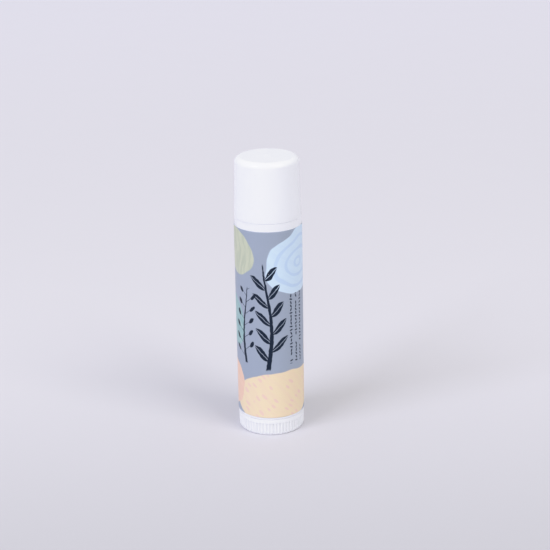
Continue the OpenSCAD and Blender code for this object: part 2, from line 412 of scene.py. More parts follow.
def new_tree(
    name: str, inputs: list[Port], outputs: list[Port], kind: str = "ShaderNodeTree"
) -> tuple[NodeTree, Sketch, Wire]:
    """Makes a node group with named sockets.

    Args:
        name: the group's name.
        inputs: its inputs.
        outputs: its outputs.
        kind: the tree's type name.

    Returns:
        The tree, its sketch and its inputs.
    """
    tree = bpy.data.node_groups.new(name, kind)
    for side, ports in (("INPUT", inputs), ("OUTPUT", outputs)):
        for port in ports:
            socket = tree.interface.new_socket(port.name, in_out=side, socket_type=port.kind.value)
            if port.value is not None:
                socket.default_value = port.value
    sketch = Sketch(tree)
    return tree, sketch, sketch.put("NodeGroupInput")


def new_material(name: str) -> tuple[Material, Sketch]:
    """Material with an empty tree.

    Args:
        name: the material's name.

    Returns:
        The material and the sketch of its tree.
    """
    material = bpy.data.materials.new(name)
    material.use_nodes = True
    return material, Sketch(material.node_tree)


# ---- finishes


class Effects:
    """Shader groups that more than one material uses, each built once."""

    def __init__(self) -> None:
        """Builds the groups."""
        self.skin = self._skin()
        self.scuffs = self._scuffs()
        self.dust = self._dust()

    @staticmethod
    def _skin() -> NodeTree:
        """Moulded skin: faint flow in the tone, drawn polish in the gloss and a fine grain.

        Returns:
            The shader group.
        """
        inputs = [
            Port("Color", (0.8, 0.8, 0.8, 1), Kind.COLOUR),
            Port("Tone Spread", 0.03),
            Port("Roughness", 0.35),
            Port("Roughness Spread", 0.08),
            Port("Grain Scale", 3000.0),
        ]
        outputs = [Port("Color", kind=Kind.COLOUR), Port("Roughness"), Port("Height")]
        tree, s, given = new_tree("moulded_skin", inputs, outputs)
        place = s.place()
        flow = s.noise(s.placed(place, size=(1, 1, 3.5)), scale=190.0, detail=3.0)
        polish = s.noise(s.placed(place, size=(1, 1, 14)), scale=2400.0)
        grain = s.noise(place, given["Grain Scale"])
        swell = s.noise(place, scale=260.0, detail=1.0)
        gain = (flow - 0.5).scaled(given["Tone Spread"], 1.0)
        lit = s.vectors("MULTIPLY", given["Color"], s.vector(gain, gain, gain))
        uneven = flow.scaled(0.5, polish * 0.5) - 0.5
        rough = uneven.scaled(given["Roughness Spread"], given["Roughness"])
        height = swell.scaled(1.0, grain * 0.16)
        s.put("NodeGroupOutput", {"Color": lit, "Roughness": rough, "Height": height})
        return tree

    @staticmethod
    def _scuffs() -> NodeTree:
        """Hairline scuffs that cross each other in patches.

        Returns:
            The shader group.
        """
        inputs = [Port("Amount", 0.5), Port("Reach", 0.62)]
        tree, s, given = new_tree("fine_scuffs", inputs, [Port("Mask")])
        place = s.place()
        lines, turns = [], ((0.3, 0.5, 0.2), (1.1, -0.4, 0.9), (-0.6, 0.9, 1.7))
        for turn in turns:
            thin = s.placed(place, turn=turn, size=(16, 1, 1))
            lines.append(s.above(s.noise(thin, scale=2600.0, detail=1.0), 0.70, 0.78))
        crossed = lines[0].at_least(lines[1]).at_least(lines[2])
        patches = (s.noise(place, scale=210.0) - given["Reach"]).firm(6.0)
        mask = crossed * patches.at_least(0.15)
        s.put("NodeGroupOutput", {"Mask": mask * given["Amount"]})
        return tree

    @staticmethod
    def _dust() -> NodeTree:
        """Sparse specks of dust.

        Returns:
            The shader group.
        """
        inputs = [Port("Amount", 0.5), Port("Cells", 900.0)]
        tree, s, given = new_tree("dust_specks", inputs, [Port("Mask")])
        cells = s.cells(s.place(), given["Cells"])
        speck = s.below(cells, 0.05, 0.13)
        chosen = s.put("ShaderNodeSeparateColor", {0: cells["Color"]})
        mask = speck * (chosen > 0.86)
        s.put("NodeGroupOutput", {"Mask": mask * given["Amount"]})
        return tree


@dataclass(frozen=True)
class PlasticFinish:
    """White moulded polypropylene with a soft sheen."""

    name: str
    colour: Tone
    roughness: float
    glow: float = 0.1
    glow_depth: float = 1.8
    scuffed: float = 0.5
    scuff_depth: float = 0.22
    scuff_dullness: float = 0.16
    dusted: float = 0.3
    dust_cells: float = 1150.0
    dust: Tone = tone(190, 187, 184)

    def build(self, effects: Effects) -> Material:
        """Makes the material.

        Args:
            effects: the shared shader groups.

        Returns:
            The material.
        """
        material, s = new_material(self.name)
        skin = s.group(effects.skin, Color=self.colour, Roughness=self.roughness)
        scuffs = s.group(effects.scuffs, Amount=self.scuffed)
        dust = s.group(effects.dust, Amount=self.dusted, Cells=self.dust_cells)
        s.finish(
            scuffs.scaled(-self.scuff_depth, skin["Height"]),
            strength=0.3,
            depth=0.06,
            Base_Color=s.mixed(dust, skin["Color"], self.dust),
            Roughness=scuffs.scaled(self.scuff_dullness, skin["Roughness"]),
            IOR=1.49,
            Subsurface_Weight=self.glow,
            Subsurface_Radius=(1.0, 0.97, 0.93),
            Subsurface_Scale=self.glow_depth * MM,
        )
        return material


@dataclass(frozen=True)
class WaxFinish:
    """Cast balm: pale, waxy and slightly translucent, with faint drag marks and bloom."""

    name: str
    colour: Tone
    bloom: Tone
    dust: Tone = tone(205, 196, 176)

    def build(self, effects: Effects) -> Material:
        """Makes the material.

        Args:
            effects: the shared shader groups.

        Returns:
            The material.
        """
        material, s = new_material(self.name)
        place = s.place()
        clouds = s.noise(place, scale=330.0, detail=4.0)
        crystals = s.cells(place, 2600.0, kind="SMOOTH_F1")
        drawn = s.noise(s.placed(place, size=(1, 1, 22)), scale=2300.0)
        colour = s.mixed(s.above(clouds, 0.35, 0.75) * 0.5, self.colour, self.bloom)
        scuffs = s.group(effects.scuffs, Amount=0.6, Reach=0.5)
        dust = s.group(effects.dust, Amount=0.25)
        height = crystals.scaled(0.25, drawn.scaled(0.5, clouds))
        s.finish(
            scuffs.scaled(-0.4, height),
            strength=0.4,
            depth=0.08,
            Base_Color=s.mixed(dust, colour, self.dust),
            Roughness=clouds.scaled(0.22, drawn.scaled(0.12, 0.2)),
            IOR=1.44,
            Subsurface_Weight=0.55,
            Subsurface_Radius=(1.0, 0.8, 0.5),
            Subsurface_Scale=1.6 * MM,
        )
        return material


@dataclass(frozen=True)
class BareFilm:
    """Unprinted edge and back of the film."""

    name: str = "film_edge"
    colour: Tone = tone(226, 228, 234)

    def build(self, effects: Effects) -> Material:
        """Makes the material.

        Args:
            effects: the shared shader groups.

        Returns:
            The material.
        """
        material, s = new_material(self.name)
        skin = s.group(effects.skin, Color=self.colour, Roughness=0.45, Tone_Spread=0.05)
        tint, rough = skin["Color"], skin["Roughness"]
        s.finish(skin["Height"], strength=0.2, depth=0.04, Base_Color=tint, Roughness=rough)
        return material


# ---- the label's print


class Decor(Enum):
    """What fills a pebble of the print."""

    PLAIN = "plain"
    DOTS = "dots"
    RINGS = "rings"
    BRUSHED = "brushed"


@dataclass(frozen=True)
class Pebble:
    """A soft shape of the print, placed on the flat sheet in mm from its front middle."""

    u: float
    v: float
    wide: float
    high: float
    turn: float
    ink: Tone
    accent: Tone
    decor: Decor
    pitch: float
    edge: float = 0.12
    brush_turn: float = 0.6

    def over(self, s: Sketch, where: Wire, below: Wire) -> Wire:
        """Lays the pebble over the colours below it.

        Args:
            s: the material's sketch.
            where: warped place on the sheet, in mm.
            below: the colour so far.

        Returns:
            The colour with the pebble on it.
        """
        at, turn, least = (self.u, self.v, 0), math.radians(self.turn), min(self.wide, self.high)
        local = s.placed(where, at, (0, 0, turn), (self.wide, self.high, 1))
        reach, edge = s.vectors("LENGTH", local)[1], self.edge / least
        inside = s.below(reach, 1 - edge, 1 + edge)
        straight = s.placed(where, at, (0, 0, turn + self.brush_turn), (self.pitch,) * 3)
        streaks = s.noise(s.placed(straight, size=(1, 7, 1)), scale=1.7, detail=3.0)
        share = s.above(streaks, 0.35, 0.75) * 0.3
        if self.decor is Decor.DOTS:
            long = s.placed(straight, size=(0.78, 1.7, 1))
            share = share.at_least(s.below(s.cells(long, 1.0, 0.3), 0.2, 0.28) * 0.85)
        elif self.decor is Decor.RINGS:
            wave = s.maths("PINGPONG", reach * (least / self.pitch), 0.5)
            share = share.at_least(s.above(wave, 0.3, 0.4) * 0.8)
        elif self.decor is Decor.BRUSHED:
            share = s.above(streaks, 0.42, 0.6) * 0.85
        return s.mixed(inside, below, s.mixed(share, self.ink, self.accent))


@dataclass(frozen=True)
class SeedPanel:
    """A panel of tiny seed-like marks in upright rows, each turned its own way."""

    left: float
    right: float
    low: float
    high: float
    pitch: float = 1.6
    period: float = 0.86
    half_length: float = 0.46
    half_width: float = 0.2
    left_out: float = 0.14
    strength: float = 0.95
    stagger: float = 0.37
    spins: tuple[float, float] = (2.6, -0.5)
    salt: float = 7.3
    edge: tuple[float, float] = (0.75, 1.2)

    def mask(self, s: Sketch, where: Wire) -> Wire:
        """Share of ink of the panel.

        Args:
            s: the material's sketch.
            where: place on the sheet, in mm.

        Returns:
            The mask.
        """
        parts = s.parts(where)
        column = (parts[0] - self.left) / self.pitch
        number = s.maths("FLOOR", column)
        row = number.scaled(self.stagger, parts[1] / self.period)
        cell = s.vector(number, s.maths("FLOOR", row))
        chance = s.put("ShaderNodeTexWhiteNoise", {"Vector": cell}, noise_dimensions="2D")
        across, along = (s.maths("FRACT", value) - 0.5 for value in (column, row))
        local = s.vector(across * self.pitch, along * self.period)
        spin = {"Vector": local, "Angle": chance.scaled(*self.spins)}
        loose = s.put("ShaderNodeVectorRotate", spin, rotation_type="Z_AXIS")
        seed = s.placed(loose, size=(self.half_length, self.half_width, 1))
        mark = s.below(s.vectors("LENGTH", seed)[1], *self.edge)
        mark = mark * (s.maths("FRACT", chance * self.salt) > self.left_out)
        sides = ((parts[0], self.left, self.right), (parts[1], self.low, self.high))
        for value, low, high in sides:
            mark = mark * (abs(value - (low + high) / 2) < (high - low) / 2)
        return mark * self.strength


@dataclass(frozen=True)
class Sprig:
    """A brushed twig of the print: a swaying stem with leaves or berries on both sides."""

    u: float
    low: float
    high: float
    sway: float
    pitch: float
    leaf: float
    fat: float
    slope: float
    stem: float
    berries: bool = False
    crisp: float = 9.0
    swing: float = 4.4
    taper: float = 0.045
    midrib: float = 0.14
    stalk: float = 0.13
    stalk_share: float = 0.8
    berry_share: float = 0.86

    def mask(self, s: Sketch, where: Wire) -> Wire:
        """Share of ink of the twig.

        Args:
            s: the material's sketch.
            where: place on the sheet, in mm.

        Returns:
            The mask.
        """
        parts, length = s.parts(where), self.high - self.low
        along = (parts[1] - self.low) / length
        bend = s.maths("SINE", along * self.swing) * self.sway
        side = parts[0] - self.u - bend
        out = abs(side)
        inside = s.above(along, -0.01, 0.01) * s.below(along, 0.97, 1.0)
        thin = along.scaled(-0.5 * self.stem, 0.75 * self.stem)
        stem = (thin - out).firm(self.crisp)
        other = (side > 0.0) * (self.pitch / 2)
        phase = (parts[1] - out * self.slope - other - self.low) / self.pitch
        number = s.maths("FLOOR", phase)
        across = abs((s.maths("FRACT", phase) - 0.5) * self.pitch)
        reach = number.scaled(-self.taper * self.leaf, self.leaf)
        share = out / reach
        if self.berries:
            marks = self._berries(s, share, across, reach)
        else:
            marks = self._leaves(share, across)
        most = math.floor((length - self.leaf * self.slope) / self.pitch - 0.5)
        grown = (number > -0.5) * (number < most + 0.5)
        return stem.at_least(marks * grown) * inside

    def _leaves(self, share: Wire, across: Wire) -> Wire:
        """Mask of leaves with an open midrib.

        Args:
            share: share of the leaf's length, from the stem.
            across: distance from the leaf's midrib in mm.

        Returns:
            The mask.
        """
        curve = share * (1.0 - share) * (4.0 * self.fat)
        filled = (curve - across).firm(self.crisp)
        opened = filled * (1.0 - (self.midrib - across).firm(self.crisp))
        return opened * (share < 1.0)

    def _berries(self, s: Sketch, share: Wire, across: Wire, reach: Wire) -> Wire:
        """Mask of berries, each on a thin stalk.

        Args:
            s: the material's sketch.
            share: share of the stalk's length, from the stem.
            across: distance from the stalk in mm.
            reach: the stalk's length in mm.

        Returns:
            The mask.
        """
        away = (self.berry_share - share) * reach
        ball = s.maths("SQRT", away.scaled(away, across * across))
        stalk = (self.stalk - across).firm(self.crisp) * (share < self.stalk_share)
        return (self.fat - ball).firm(self.crisp).at_least(stalk)


@dataclass(frozen=True)
class PrintedSheet:
    """Finish of the label: satin film printed with generic pastel shapes on slate blue."""

    name: str
    wide: float
    high: float
    pebbles: tuple[Pebble, ...]
    sprigs: tuple[Sprig, ...]
    panels: tuple[SeedPanel, ...]
    ground: Tone = tone(150, 161, 182)
    wash: Tone = tone(168, 177, 192)
    ink: Tone = tone(12, 29, 50)
    washed_ink: Tone = tone(46, 64, 90)
    rubbed: Tone = tone(226, 228, 234)
    dust: Tone = tone(214, 212, 208)
    drift: float = 3.4
    tremor: float = 0.35

    def build(self, effects: Effects) -> Material:
        """Makes the material from the sheet's own UV map.

        Args:
            effects: the shared shader groups.

        Returns:
            The material.
        """
        material, s = new_material(self.name)
        sheet = s.put("ShaderNodeUVMap", uv_map="sheet")
        middle = s.vectors("SUBTRACT", sheet, (0.5, 0.0, 0.0))
        flat = s.vectors("MULTIPLY", middle, (self.wide, self.high, 1.0))
        wash = s.noise(flat, scale=0.16, detail=3.0)
        colour = s.mixed(wash * 0.3, self.ground, self.wash)
        drifting = self._wandering(s, flat, s.noise(flat, scale=0.11), self.drift)
        for pebble in self.pebbles:
            colour = pebble.over(s, drifting, colour)
        dots = s.cells(flat, 6.5, 0.1)
        grain = s.noise(flat, scale=5.0, detail=3.0).scaled(0.07, dots * 0.035)
        colour = s.mixed(grain, colour, self.rubbed)
        dry = s.noise(s.placed(flat, turn=(0, 0, 0.5), size=(0.3, 1.6, 1)), scale=1.4, detail=3.0)
        ink = s.mixed(s.above(dry, 0.5, 0.8) * 0.35, self.ink, self.washed_ink)
        brushed = self._wandering(s, flat, s.noise(flat, scale=0.9, detail=1.0), self.tremor)
        masks = [panel.mask(s, flat) for panel in self.panels]
        for mask in (*masks, *(sprig.mask(s, brushed) for sprig in self.sprigs)):
            colour = s.mixed(mask, colour, ink)
        scuffs = s.group(effects.scuffs, Amount=0.55, Reach=0.58)
        dust = s.group(effects.dust, Amount=0.35)
        height = s.noise(flat, scale=2.6).scaled(0.6, dots * 0.12)
        s.finish(
            scuffs.scaled(-0.3, height),
            strength=0.22,
            depth=0.05,
            Base_Color=s.mixed(dust, colour, self.dust),
            Roughness=scuffs.scaled(0.2, wash.scaled(0.1, 0.37)),
            IOR=1.5,
            Specular_IOR_Level=0.25,
        )
        return material

    @staticmethod
    def _wandering(s: Sketch, flat: Wire, noise: Wire, most: float) -> Wire:
        """Place on the sheet that wanders with a noise by some mm."""
        wander = s.vectors("SUBTRACT", noise["Color"], (0.5, 0.5, 0.5))
        return s.vectors("MULTIPLY_ADD", wander, (most, most, 0.0), flat)


def label_print(sheet: tuple[float, float]) -> PrintedSheet:
    """Layout of the label's generic print.

    Args:
        sheet: width and height of the flat sheet in mm.

    Returns:
        The print's finish.
    """
    cream, blush = tone(236, 216, 182), tone(234, 199, 188)
    peach, coral = tone(236, 200, 180), tone(228, 184, 166)
    sage, moss = tone(198, 202, 180), tone(183, 190, 170)
    sky, brook = tone(205, 225, 246), tone(186, 209, 240)
    mint, pool = tone(156, 188, 190), tone(138, 174, 180)
    return PrintedSheet(
        "printed_film",
        *sheet,
        pebbles=(
            Pebble(8.2, 38.6, 9.5, 7.6, 24, sky, brook, Decor.RINGS, 2.3),
            Pebble(-9.6, 41.4, 6.6, 4.9, -38, sage, moss, Decor.BRUSHED, 1.5),
            Pebble(-10.6, 23.6, 4.0, 6.2, 12, mint, pool, Decor.BRUSHED, 1.3),
            Pebble(2.4, 5.0, 12.5, 6.6, 8, cream, blush, Decor.DOTS, 1.9),
            Pebble(-12.5, 7.0, 5.4, 5.6, 30, peach, coral, Decor.PLAIN, 1.7),
            Pebble(17.5, 16.5, 6.2, 8.6, -16, cream, blush, Decor.RINGS, 2.1),
            Pebble(19.5, 40.5, 5.2, 5.8, 0, peach, coral, Decor.DOTS, 1.8),
            Pebble(-20.4, 34.5, 5.4, 8.4, 20, cream, blush, Decor.DOTS, 1.9),
            Pebble(-21.0, 12.5, 6.4, 5.4, -20, sky, brook, Decor.BRUSHED, 1.6),
            Pebble(22.5, 28.5, 3.6, 3.2, 0, sage, moss, Decor.PLAIN, 1.4),
        ),
        sprigs=(
            Sprig(-0.6, 12.4, 39.2, 1.0, 4.5, 4.2, 1.22, 0.95, 0.85),
            Sprig(-6.3, 13.6, 33.0, -0.7, 3.1, 2.7, 0.68, 0.8, 0.6, True),
            Sprig(24.0, 8.0, 40.0, 0.9, 4.3, 3.6, 1.0, 1.0, 0.6),
            Sprig(-15.6, 15.0, 43.0, -0.8, 3.3, 2.7, 0.6, 0.9, 0.5, True),
        ),
        panels=(SeedPanel(4.6, 9.4, 13.4, 31.0), SeedPanel(12.6, 15.8, 26.6, 46.0)),
    )


# ---- geometry trees


class Moulder:
    """A geometry tree that moulds a swept shape onto a body, built once for all its uses."""

    def __init__(self, name: str, *sizes: Port) -> None:
        """Builds the tree.

        Args:
            name: the tree's name.
            sizes: its inputs besides the body and the material.
        """
        inputs = [Port("Body", kind=Kind.SHAPE), *sizes, Port("Material", kind=Kind.FINISH)]
        outputs = [Port("Geometry", kind=Kind.SHAPE)]
        self.tree, s, given = new_tree(name, inputs, outputs, "GeometryNodeTree")
        joined = s.put("GeometryNodeJoinGeometry", {0: [given["Body"], self._shape(s, given)]})
        real = s.put("GeometryNodeRealizeInstances", {0: joined})
        dress = {"Geometry": real, "Material": given["Material"]}
        s.put("NodeGroupOutput", {0: s.put("GeometryNodeSetMaterial", dress)})

    def _shape(self, s: Sketch, given: Wire) -> Wire:
        """The shape that is moulded on, which each kind of moulder makes in its own way."""
        raise NotImplementedError

    @staticmethod
    def _swept(
        s: Sketch, spine: tuple[Feed, Wire, Feed], section: Wire, soft: tuple[Feed, int], full: Wire
    ) -> Wire:
        """Sweeps a section along a spine.

        Args:
            s: the tree's sketch.
            spine: its number of points, their places and the direction that the section faces.
            section: the section's curve.
            soft: the rounding of the section's corners and the number of steps in it.
            full: the section's size at each point, as a share.

        Returns:
            The swept mesh.
        """
        count, places, facing = spine
        line = s.put("GeometryNodeCurvePrimitiveLine", {"End": (0, 0, 1)})
        even = s.put("GeometryNodeResampleCurve", {"Curve": line, "Count": count})
        bent = s.put("GeometryNodeSetPosition", {"Geometry": even, "Position": places})
        normal = {"Curve": bent, "Normal": facing}
        path = s.put("GeometryNodeSetCurveNormal", normal, mode="FREE")
        fillet = {"Curve": section, "Radius": soft[0], "Count": soft[1], "Limit Radius": True}
        profile = s.put("GeometryNodeFilletCurve", fillet, mode="POLY")
        sweep = {"Curve": path, "Profile Curve": profile, "Scale": full, "Fill Caps": True}
        return s.put("GeometryNodeCurveToMesh", sweep)

    def onto(self, body: Object, lengths: dict[str, float], **others: float) -> None:
        """Moulds the shape onto a body and keeps the plain mesh.

        Args:
            body: the object that the tree works on, in its own first material.
            lengths: named inputs in mm.
            others: the other inputs, named with _ for a space.
        """
        values = {name: length * MM for name, length in lengths.items()}
        values |= spaced(others) | {"Material": body.data.materials[0]}
        modifier = body.modifiers.new(self.tree.name, "NODES")
        modifier.node_group = self.tree
        for item in self.tree.interface.items_tree:
            if item.in_out == "INPUT" and item.name in values:
                modifier[item.identifier] = values[item.name]
        graph = bpy.context.evaluated_depsgraph_get()
        mesh = bpy.data.meshes.new_from_object(body.evaluated_get(graph))
        mesh.name = body.name
        for index in reversed(range(len(mesh.materials))):
            if mesh.materials[index] is None:
                mesh.materials.pop(index=index)
        body.modifiers.clear()
        body.data = mesh
        smooth(mesh)


class RibRing(Moulder):
    """Equal upright ribs in a ring round the axis, with rounded ends."""

    SIZES = ("Ring Radius", "Width", "Depth", "Rounding", "Bottom", "Top", "Foot", "Head", "Turn")
    POINTS = 25
    CORNER_STEPS = 4
    THINNEST = 0.04

    def __init__(self) -> None:
        """Builds the tree."""
        super().__init__("rib_ring", Port("Count", 4, Kind.WHOLE), *map(Port, self.SIZES))

    def _shape(self, s: Sketch, given: Wire) -> Wire:
        """The ring of ribs.

        Args:
            s: the tree's sketch.
            given: the tree's inputs.

        Returns:
            The ribs as instances.
        """
        bottom, top = given["Bottom"], given["Top"]
        factor = s.put("GeometryNodeSplineParameter")["Factor"]
        eased = s.maths("COSINE", factor * math.pi).scaled(-0.5, 0.5)
        height = eased.scaled(top - bottom, bottom)
        ends = []
        for end, size in ((height - bottom, given["Foot"]), (top - height, given["Head"])):
            near = 1.0 - end.share_of(size)
            ends.append(s.maths("SQRT", 1.0 - near * near))
        full = (ends[0] * ends[1]).at_least(self.THINNEST)
        sides = {"Width": given["Depth"], "Height": given["Width"]}
        section = s.put("GeometryNodeCurvePrimitiveQuadrilateral", sides)
        spine = (self.POINTS, s.vector(given["Ring Radius"], z=height), (1, 0, 0))
        rib = self._swept(s, spine, section, (given["Rounding"], self.CORNER_STEPS), full)
        spots = s.put("GeometryNodeMeshLine", {"Count": given["Count"], "Offset": (0, 0, 0)})
        step = s.maths("DIVIDE", TURN, given["Count"])
        around = s.vector(z=s.put("GeometryNodeInputIndex").scaled(step, given["Turn"]))
        spin = s.put("FunctionNodeEulerToRotation", {0: around})
        ring = {"Points": spots, "Instance": rib, "Rotation": spin}
        return s.put("GeometryNodeInstanceOnPoints", ring)


class LeftHandThread(Moulder):
    """A left-hand thread wound round a screw, which fades out at both ends."""

    SIZES = ("Start", "Turns", "Lead", "Root Radius", "Depth", "Root Width", "Crest Width")
    SECTION = ((0.0, "Root", -0.5), (1.0, "Crest", -0.5), (1.0, "Crest", 0.5), (0.0, "Root", 0.5))
    POINTS_A_TURN = 40.0
    CORNER_STEPS = 3
    EDGE = 0.12
    THINNEST = 0.05

    def __init__(self) -> None:
        """Builds the tree."""
        super().__init__("left_hand_thread", *map(Port, self.SIZES), Port("Fade Turns"))

    def _shape(self, s: Sketch, given: Wire) -> Wire:
        """The thread.

        Args:
            s: the tree's sketch.
            given: the tree's inputs.

        Returns:
            The thread's mesh.
        """
        turns, root, fade = given["Turns"], given["Root Radius"], given["Fade Turns"]
        turn = s.put("GeometryNodeSplineParameter")["Factor"] * turns
        angle = turn * -TURN
        cosine, sine = s.maths("COSINE", angle), s.maths("SINE", angle)
        height = turn.scaled(given["Lead"], given["Start"])
        places = s.vector(cosine * root, sine * root, height)
        spine = (turns * self.POINTS_A_TURN, places, s.vector(cosine, sine))
        ends = [reach.share_of(fade) for reach in (turn, turns - turn)]
        corners = {}
        for number, (out, end, side) in enumerate(self.SECTION, 1):
            corner = s.vector(given["Depth"] * out, given[f"{end} Width"] * side)
            corners[f"Point {number}"] = corner
        section = s.put("GeometryNodeCurvePrimitiveQuadrilateral", corners, mode="POINTS")
        full = s.maths("MINIMUM", *ends).at_least(self.THINNEST)
        return self._swept(s, spine, section, (self.EDGE * MM, self.CORNER_STEPS), full)


# ---- the stick's sub-assemblies


@dataclass
class PullCap:
    """Pull-off cap: drafted wall, rounded top edge, bore with a groove for the neck's bead."""

    mouth_z: float = 53.33
    top_z: float = 67.5
    roof_z: float = 66.4
    roof_flat_r: float = 1.2
    mouth_r: float = 7.9
    top_r: float = 7.482
    edge: float = 1.3
    bore_mouth_r: float = 6.896
    bore_roof_r: float = 6.705
    lead_in: float = 0.2
    groove_z: float = 55.5
    groove_half: float = 0.4
    groove: float = 0.1
    gate_rim_r: float = 0.62
    gate_r: float = 0.55
    gate_deep: float = 0.04
    steps: int = 10

    def bore_at(self, z: float) -> float:
        """Radius of the bore at height z."""
        share = (z - self.mouth_z) / (self.roof_z - self.mouth_z)
        return self.bore_mouth_r + (self.bore_roof_r - self.bore_mouth_r) * share

    def build(self, plastic: Material) -> None:
        """Turns the cap.

        Args:
            plastic: the cap's material.
        """
        high, low = self.groove_z + self.groove_half, self.groove_z - self.groove_half
        gate_z = self.top_z - self.gate_deep
        corners = [
            Corner(0, self.roof_z),
            Corner(self.roof_flat_r, self.roof_z),
            Corner(self.bore_roof_r, self.roof_z, 0.5),
            Corner(self.bore_at(high), high, 0.06),
            Corner(self.bore_at(self.groove_z) + self.groove, self.groove_z, 0.12),
            Corner(self.bore_at(low), low, 0.06),
            Corner(self.bore_mouth_r, self.mouth_z + self.lead_in, 0.06),
            Corner(self.bore_mouth_r + self.lead_in, self.mouth_z, 0.05),
            Corner(self.mouth_r, self.mouth_z, 0.05),
            Corner(self.top_r, self.top_z, self.edge),
            Corner(self.gate_rim_r, self.top_z, 0.03),
            Corner(self.gate_r, gate_z, 0.03),
            Corner(0, gate_z),
        ]
        cap = turned("cap_shell", rounded(corners, self.steps), plastic)
        hand_in(cap, "lid", "cap")


@dataclass
class BarrelTube:
    """Stepped barrel: skirt, body, shoulder, neck with a snap bead, floor and guide ribs."""

    bottom_z: float = 4.12
    floor_z: float = 5.2
    floor_top_z: float = 6.6
    shoulder_z: float = 53.3
    rim_z: float = 65.4
    body_r: float = 7.88
    skirt_r: float = 5.95
    hole_r: float = 2.5
    bore_r: float = 6.1
    neck_r: float = 6.85
    rim_r: float = 6.67
    bead_z: float = 55.5
    bead_half: float = 0.3
    bead: float = 0.04
    guides: int = 4
    guide_width: float = 0.9
    guide_proud: float = 0.35
    guide_depth: float = 0.8
    guide_edge: float = 0.1
    guide_top_z: float = 62.0
    guide_head: float = 0.3
    steps: int = 6

    def neck_at(self, z: float) -> float:
        """Radius of the neck at height z."""
        share = (z - self.shoulder_z) / (self.rim_z - self.shoulder_z)
        return self.neck_r + (self.rim_r - self.neck_r) * share

    def build(self, plastic: Material, ribs: RibRing) -> None:
        """Turns the tube and moulds the guide ribs into its bore.

        Args:
            plastic: the barrel's material.
            ribs: moulds rings of ribs.
        """
        low, high = self.bead_z - self.bead_half, self.bead_z + self.bead_half
        corners = [
            Corner(self.skirt_r, self.bottom_z, 0.08),
            Corner(self.body_r, self.bottom_z, 0.07),
            Corner(self.body_r, self.shoulder_z, 0.05),
            Corner(self.neck_r, self.shoulder_z, 0.1),
            Corner(self.neck_at(low), low, 0.3),
            Corner(self.neck_at(self.bead_z) + self.bead, self.bead_z, 0.5),
            Corner(self.neck_at(high), high, 0.3),
            Corner(self.rim_r, self.rim_z, 0.18),
            Corner(self.bore_r, self.rim_z, 0.12),
            Corner(self.bore_r, self.floor_top_z, 0.1),
            Corner(self.hole_r, self.floor_top_z, 0.06),
            Corner(self.hole_r, self.floor_z, 0.06),
            Corner(self.skirt_r, self.floor_z, 0.1),
        ]
        tube = turned("barrel_tube", rounded(corners, self.steps), plastic)
        lengths = {
            "Ring Radius": self.bore_r - self.guide_proud + self.guide_depth / 2,
            "Width": self.guide_width,
            "Depth": self.guide_depth,
            "Rounding": self.guide_edge,
            "Bottom": self.floor_top_z - SUNK,
            "Top": self.guide_top_z,
            "Foot": BLUNT,
            "Head": self.guide_head,
        }
        ribs.onto(tube, lengths, Count=self.guides, Turn=QUARTER / 2)
        hand_in(tube, "tube", "barrel")


